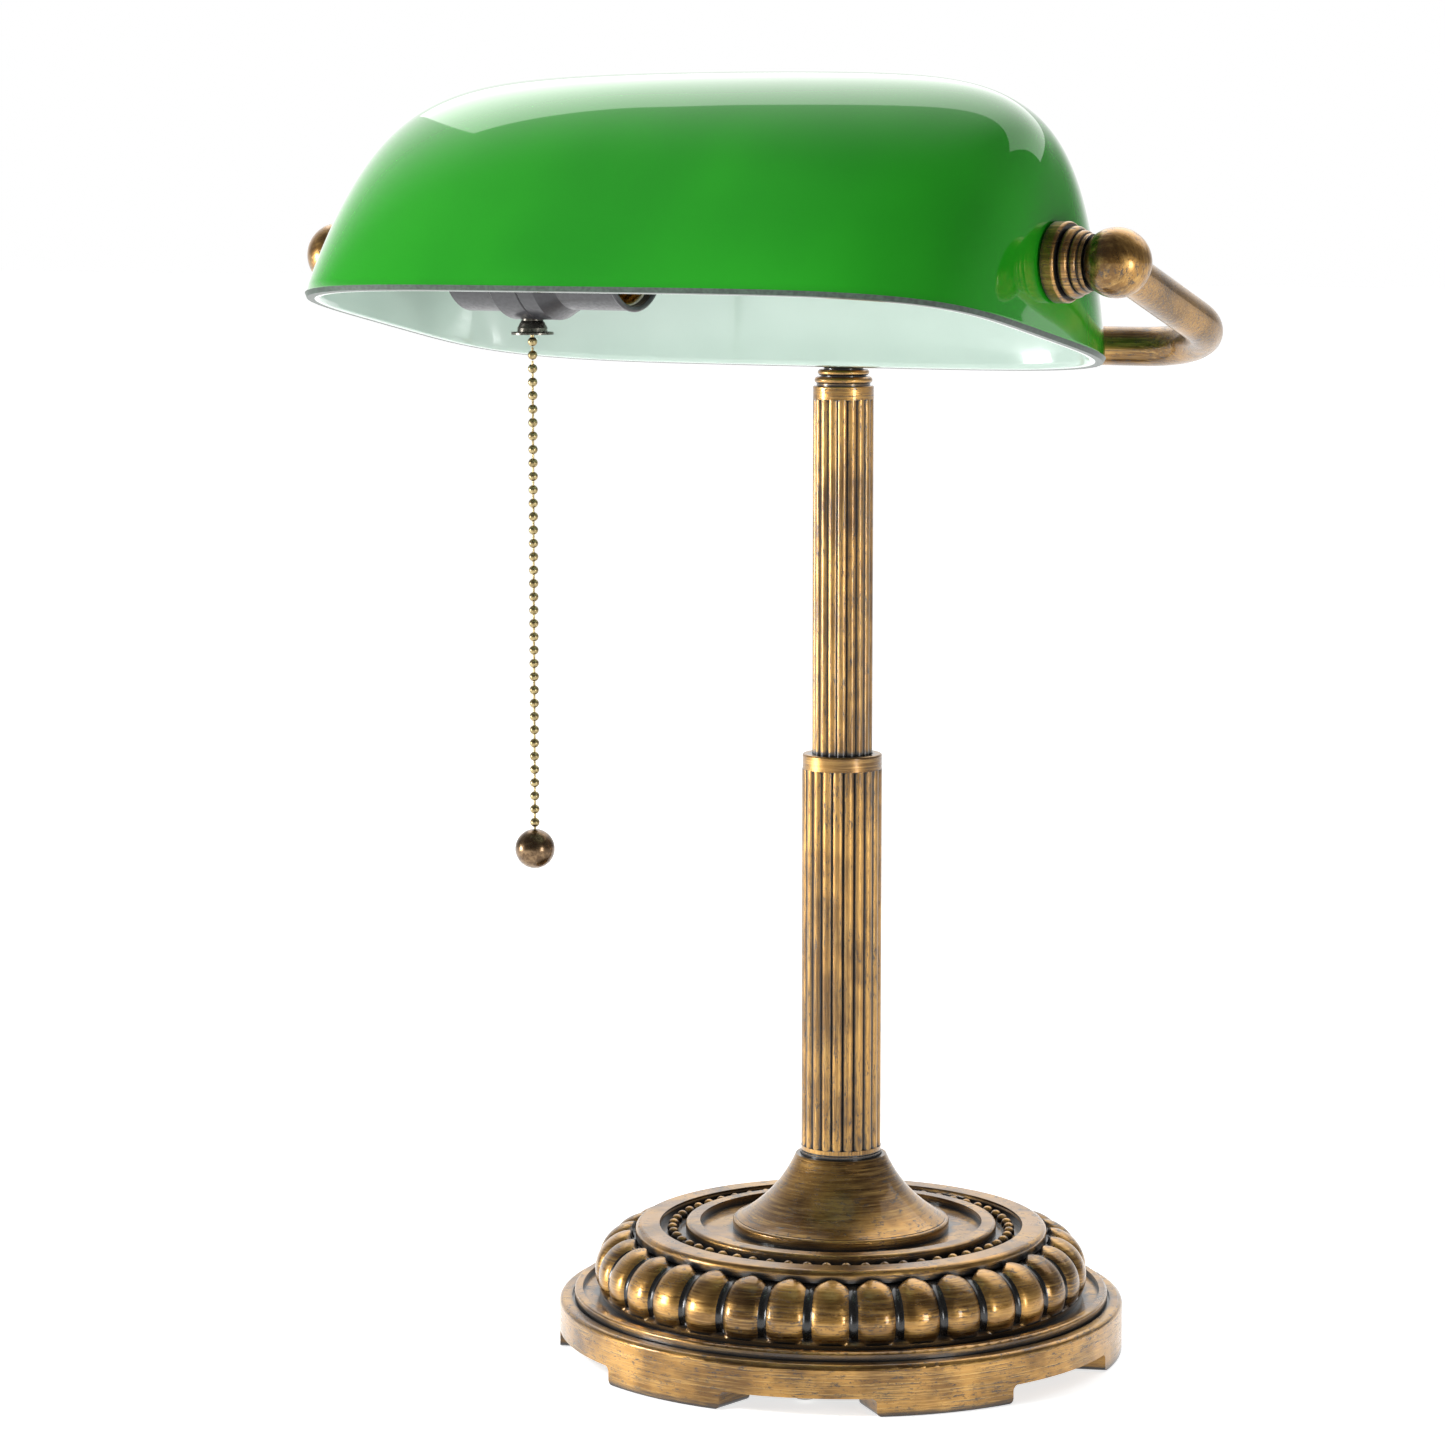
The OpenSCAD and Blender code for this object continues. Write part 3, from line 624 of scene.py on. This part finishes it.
def turned(outline, x, y, segments):
    """Points and faces of an outline turned about the upright through x and y, where it starts and ends."""
    points = [(x, y, outline[0][1])]
    for r, z in outline[1:-1]:
        for j in range(segments):
            turn = 2 * math.pi * j / segments
            points.append((x + r * math.cos(turn), y + r * math.sin(turn), z))
    points.append((x, y, outline[-1][1]))
    rows = len(outline) - 2
    faces = [tuple(reversed(f)) for f in grid_faces(rows, segments, first=1)]
    last = 1 + (rows - 1) * segments
    for j in range(segments):
        k = (j + 1) % segments
        faces.append((0, 1 + j, 1 + k))
        faces.append((last + k, last + j, len(points) - 1))
    return points, faces


def add_chain(materials):
    """Bead chain below the swivel: beads on short wires, as one hanging cord with its ball."""
    low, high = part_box("pull_chain")
    x, y = middle("chain_ball").x, middle("chain_ball").y
    points, faces = turned(chain_outline(high.z, low.z), x, y, CHAIN_SEGMENTS)
    chain = add_mesh("bead_chain", points, faces, "chain", [materials["chain"]])
    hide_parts("pull_chain")


# ---- Surroundings ----

WHITE = (1, 1, 1, 1)
LAMP_MIDDLE = (0, -0.04, 0.22)
SHADE_FRONT = (-0.06, -0.1, 0.34)
FLOOR_EDGE = 14.0


def add_world():
    """White for the camera. For the lamp, a room that is brightest behind it and to its left."""
    world = bpy.data.worlds.new("studio")
    bpy.context.scene.world = world
    world.use_nodes = True
    tree = world.node_tree

    def spread(value, low, high, low_value, high_value):
        node = tree.nodes.new("ShaderNodeMapRange")
        node.interpolation_type = "SMOOTHSTEP"
        tree.links.new(value, node.inputs["Value"])
        node.inputs["From Min"].default_value = low
        node.inputs["From Max"].default_value = high
        node.inputs["To Min"].default_value = low_value
        node.inputs["To Max"].default_value = high_value
        return node.outputs["Result"]

    direction = tree.nodes.new("ShaderNodeTexCoord")
    parts = tree.nodes.new("ShaderNodeSeparateXYZ")
    tree.links.new(direction.outputs["Generated"], parts.inputs[0])
    behind = tree.nodes.new("ShaderNodeMath")
    behind.operation = "MULTIPLY"
    tree.links.new(spread(parts.outputs["Y"], -0.1, 0.6, 0.0, 0.9), behind.inputs[0])
    tree.links.new(spread(parts.outputs["X"], -0.1, 0.4, 1.0, 0.12), behind.inputs[1])
    total = tree.nodes.new("ShaderNodeMath")
    total.operation = "ADD"
    tree.links.new(behind.outputs[0], total.inputs[0])
    tree.links.new(spread(parts.outputs["X"], -0.9, 0.2, 0.3, 0.12), total.inputs[1])
    room = tree.nodes["Background"]
    room.inputs["Color"].default_value = WHITE
    tree.links.new(total.outputs[0], room.inputs["Strength"])
    seen = tree.nodes.new("ShaderNodeBackground")
    seen.inputs["Color"].default_value = WHITE
    path = tree.nodes.new("ShaderNodeLightPath")
    mix = tree.nodes.new("ShaderNodeMixShader")
    tree.links.new(path.outputs["Is Camera Ray"], mix.inputs[0])
    tree.links.new(room.outputs[0], mix.inputs[1])
    tree.links.new(seen.outputs[0], mix.inputs[2])
    tree.links.new(mix.outputs[0], tree.nodes["World Output"].inputs[0])


def area_light(name, place, target, size, power):
    """A soft box in watts that lights the lamp and isn't seen itself."""
    data = bpy.data.lights.new(name, "AREA")
    data.shape = "RECTANGLE"
    data.size, data.size_y = size
    data.energy = power
    light = bpy.data.objects.new(name, data)
    light.location = place
    light.rotation_euler = (Vector(target) - Vector(place)).to_track_quat("-Z", "Y").to_euler()
    light.visible_camera = False
    bpy.context.scene.collection.objects.link(light)
    return light


def add_lights():
    """Key light without a reflection, one box above and behind, and two low ones in front."""
    key = area_light("key", (-0.5, -0.8, 0.8), SHADE_FRONT, (0.3, 0.3), 9)
    key.visible_glossy = False
    area_light("top", (-0.15, 1.05, 1.4), LAMP_MIDDLE, (2.6, 1.2), 13)
    area_light("low_left", (-1.35, -1.0, 0.2), LAMP_MIDDLE, (0.45, 0.5), 18)
    area_light("low_right", (1.5, -0.5, 0.2), LAMP_MIDDLE, (0.3, 0.5), 7)


def add_floor():
    """Pale floor that glows a little, so that it is as white as the background."""
    mesh = bpy.data.meshes.new("floor")
    corners = [(x * FLOOR_EDGE, y * FLOOR_EDGE, 0) for x, y in ((-1, -1), (1, -1), (1, 1), (-1, 1))]
    mesh.from_pydata(corners, [], [(0, 1, 2, 3)])
    floor = bpy.data.objects.new("floor", mesh)
    m = Nodes("floor_white")
    m.set(Base_Color=(0.85, 0.85, 0.85, 1), Roughness=0.9, Emission_Color=WHITE, Emission_Strength=0.7)
    mesh.materials.append(m.material)
    bpy.context.scene.collection.objects.link(floor)


def add_studio():
    """The surroundings, in plain display colours."""
    bpy.context.scene.view_settings.view_transform = "Standard"
    add_world()
    add_lights()
    add_floor()


add_camera()
materials = make_materials()
add_chain(materials)
paint_nodes(materials)
add_shade(materials)
add_gadroon_ring(materials)
add_thread(materials)
add_studio()
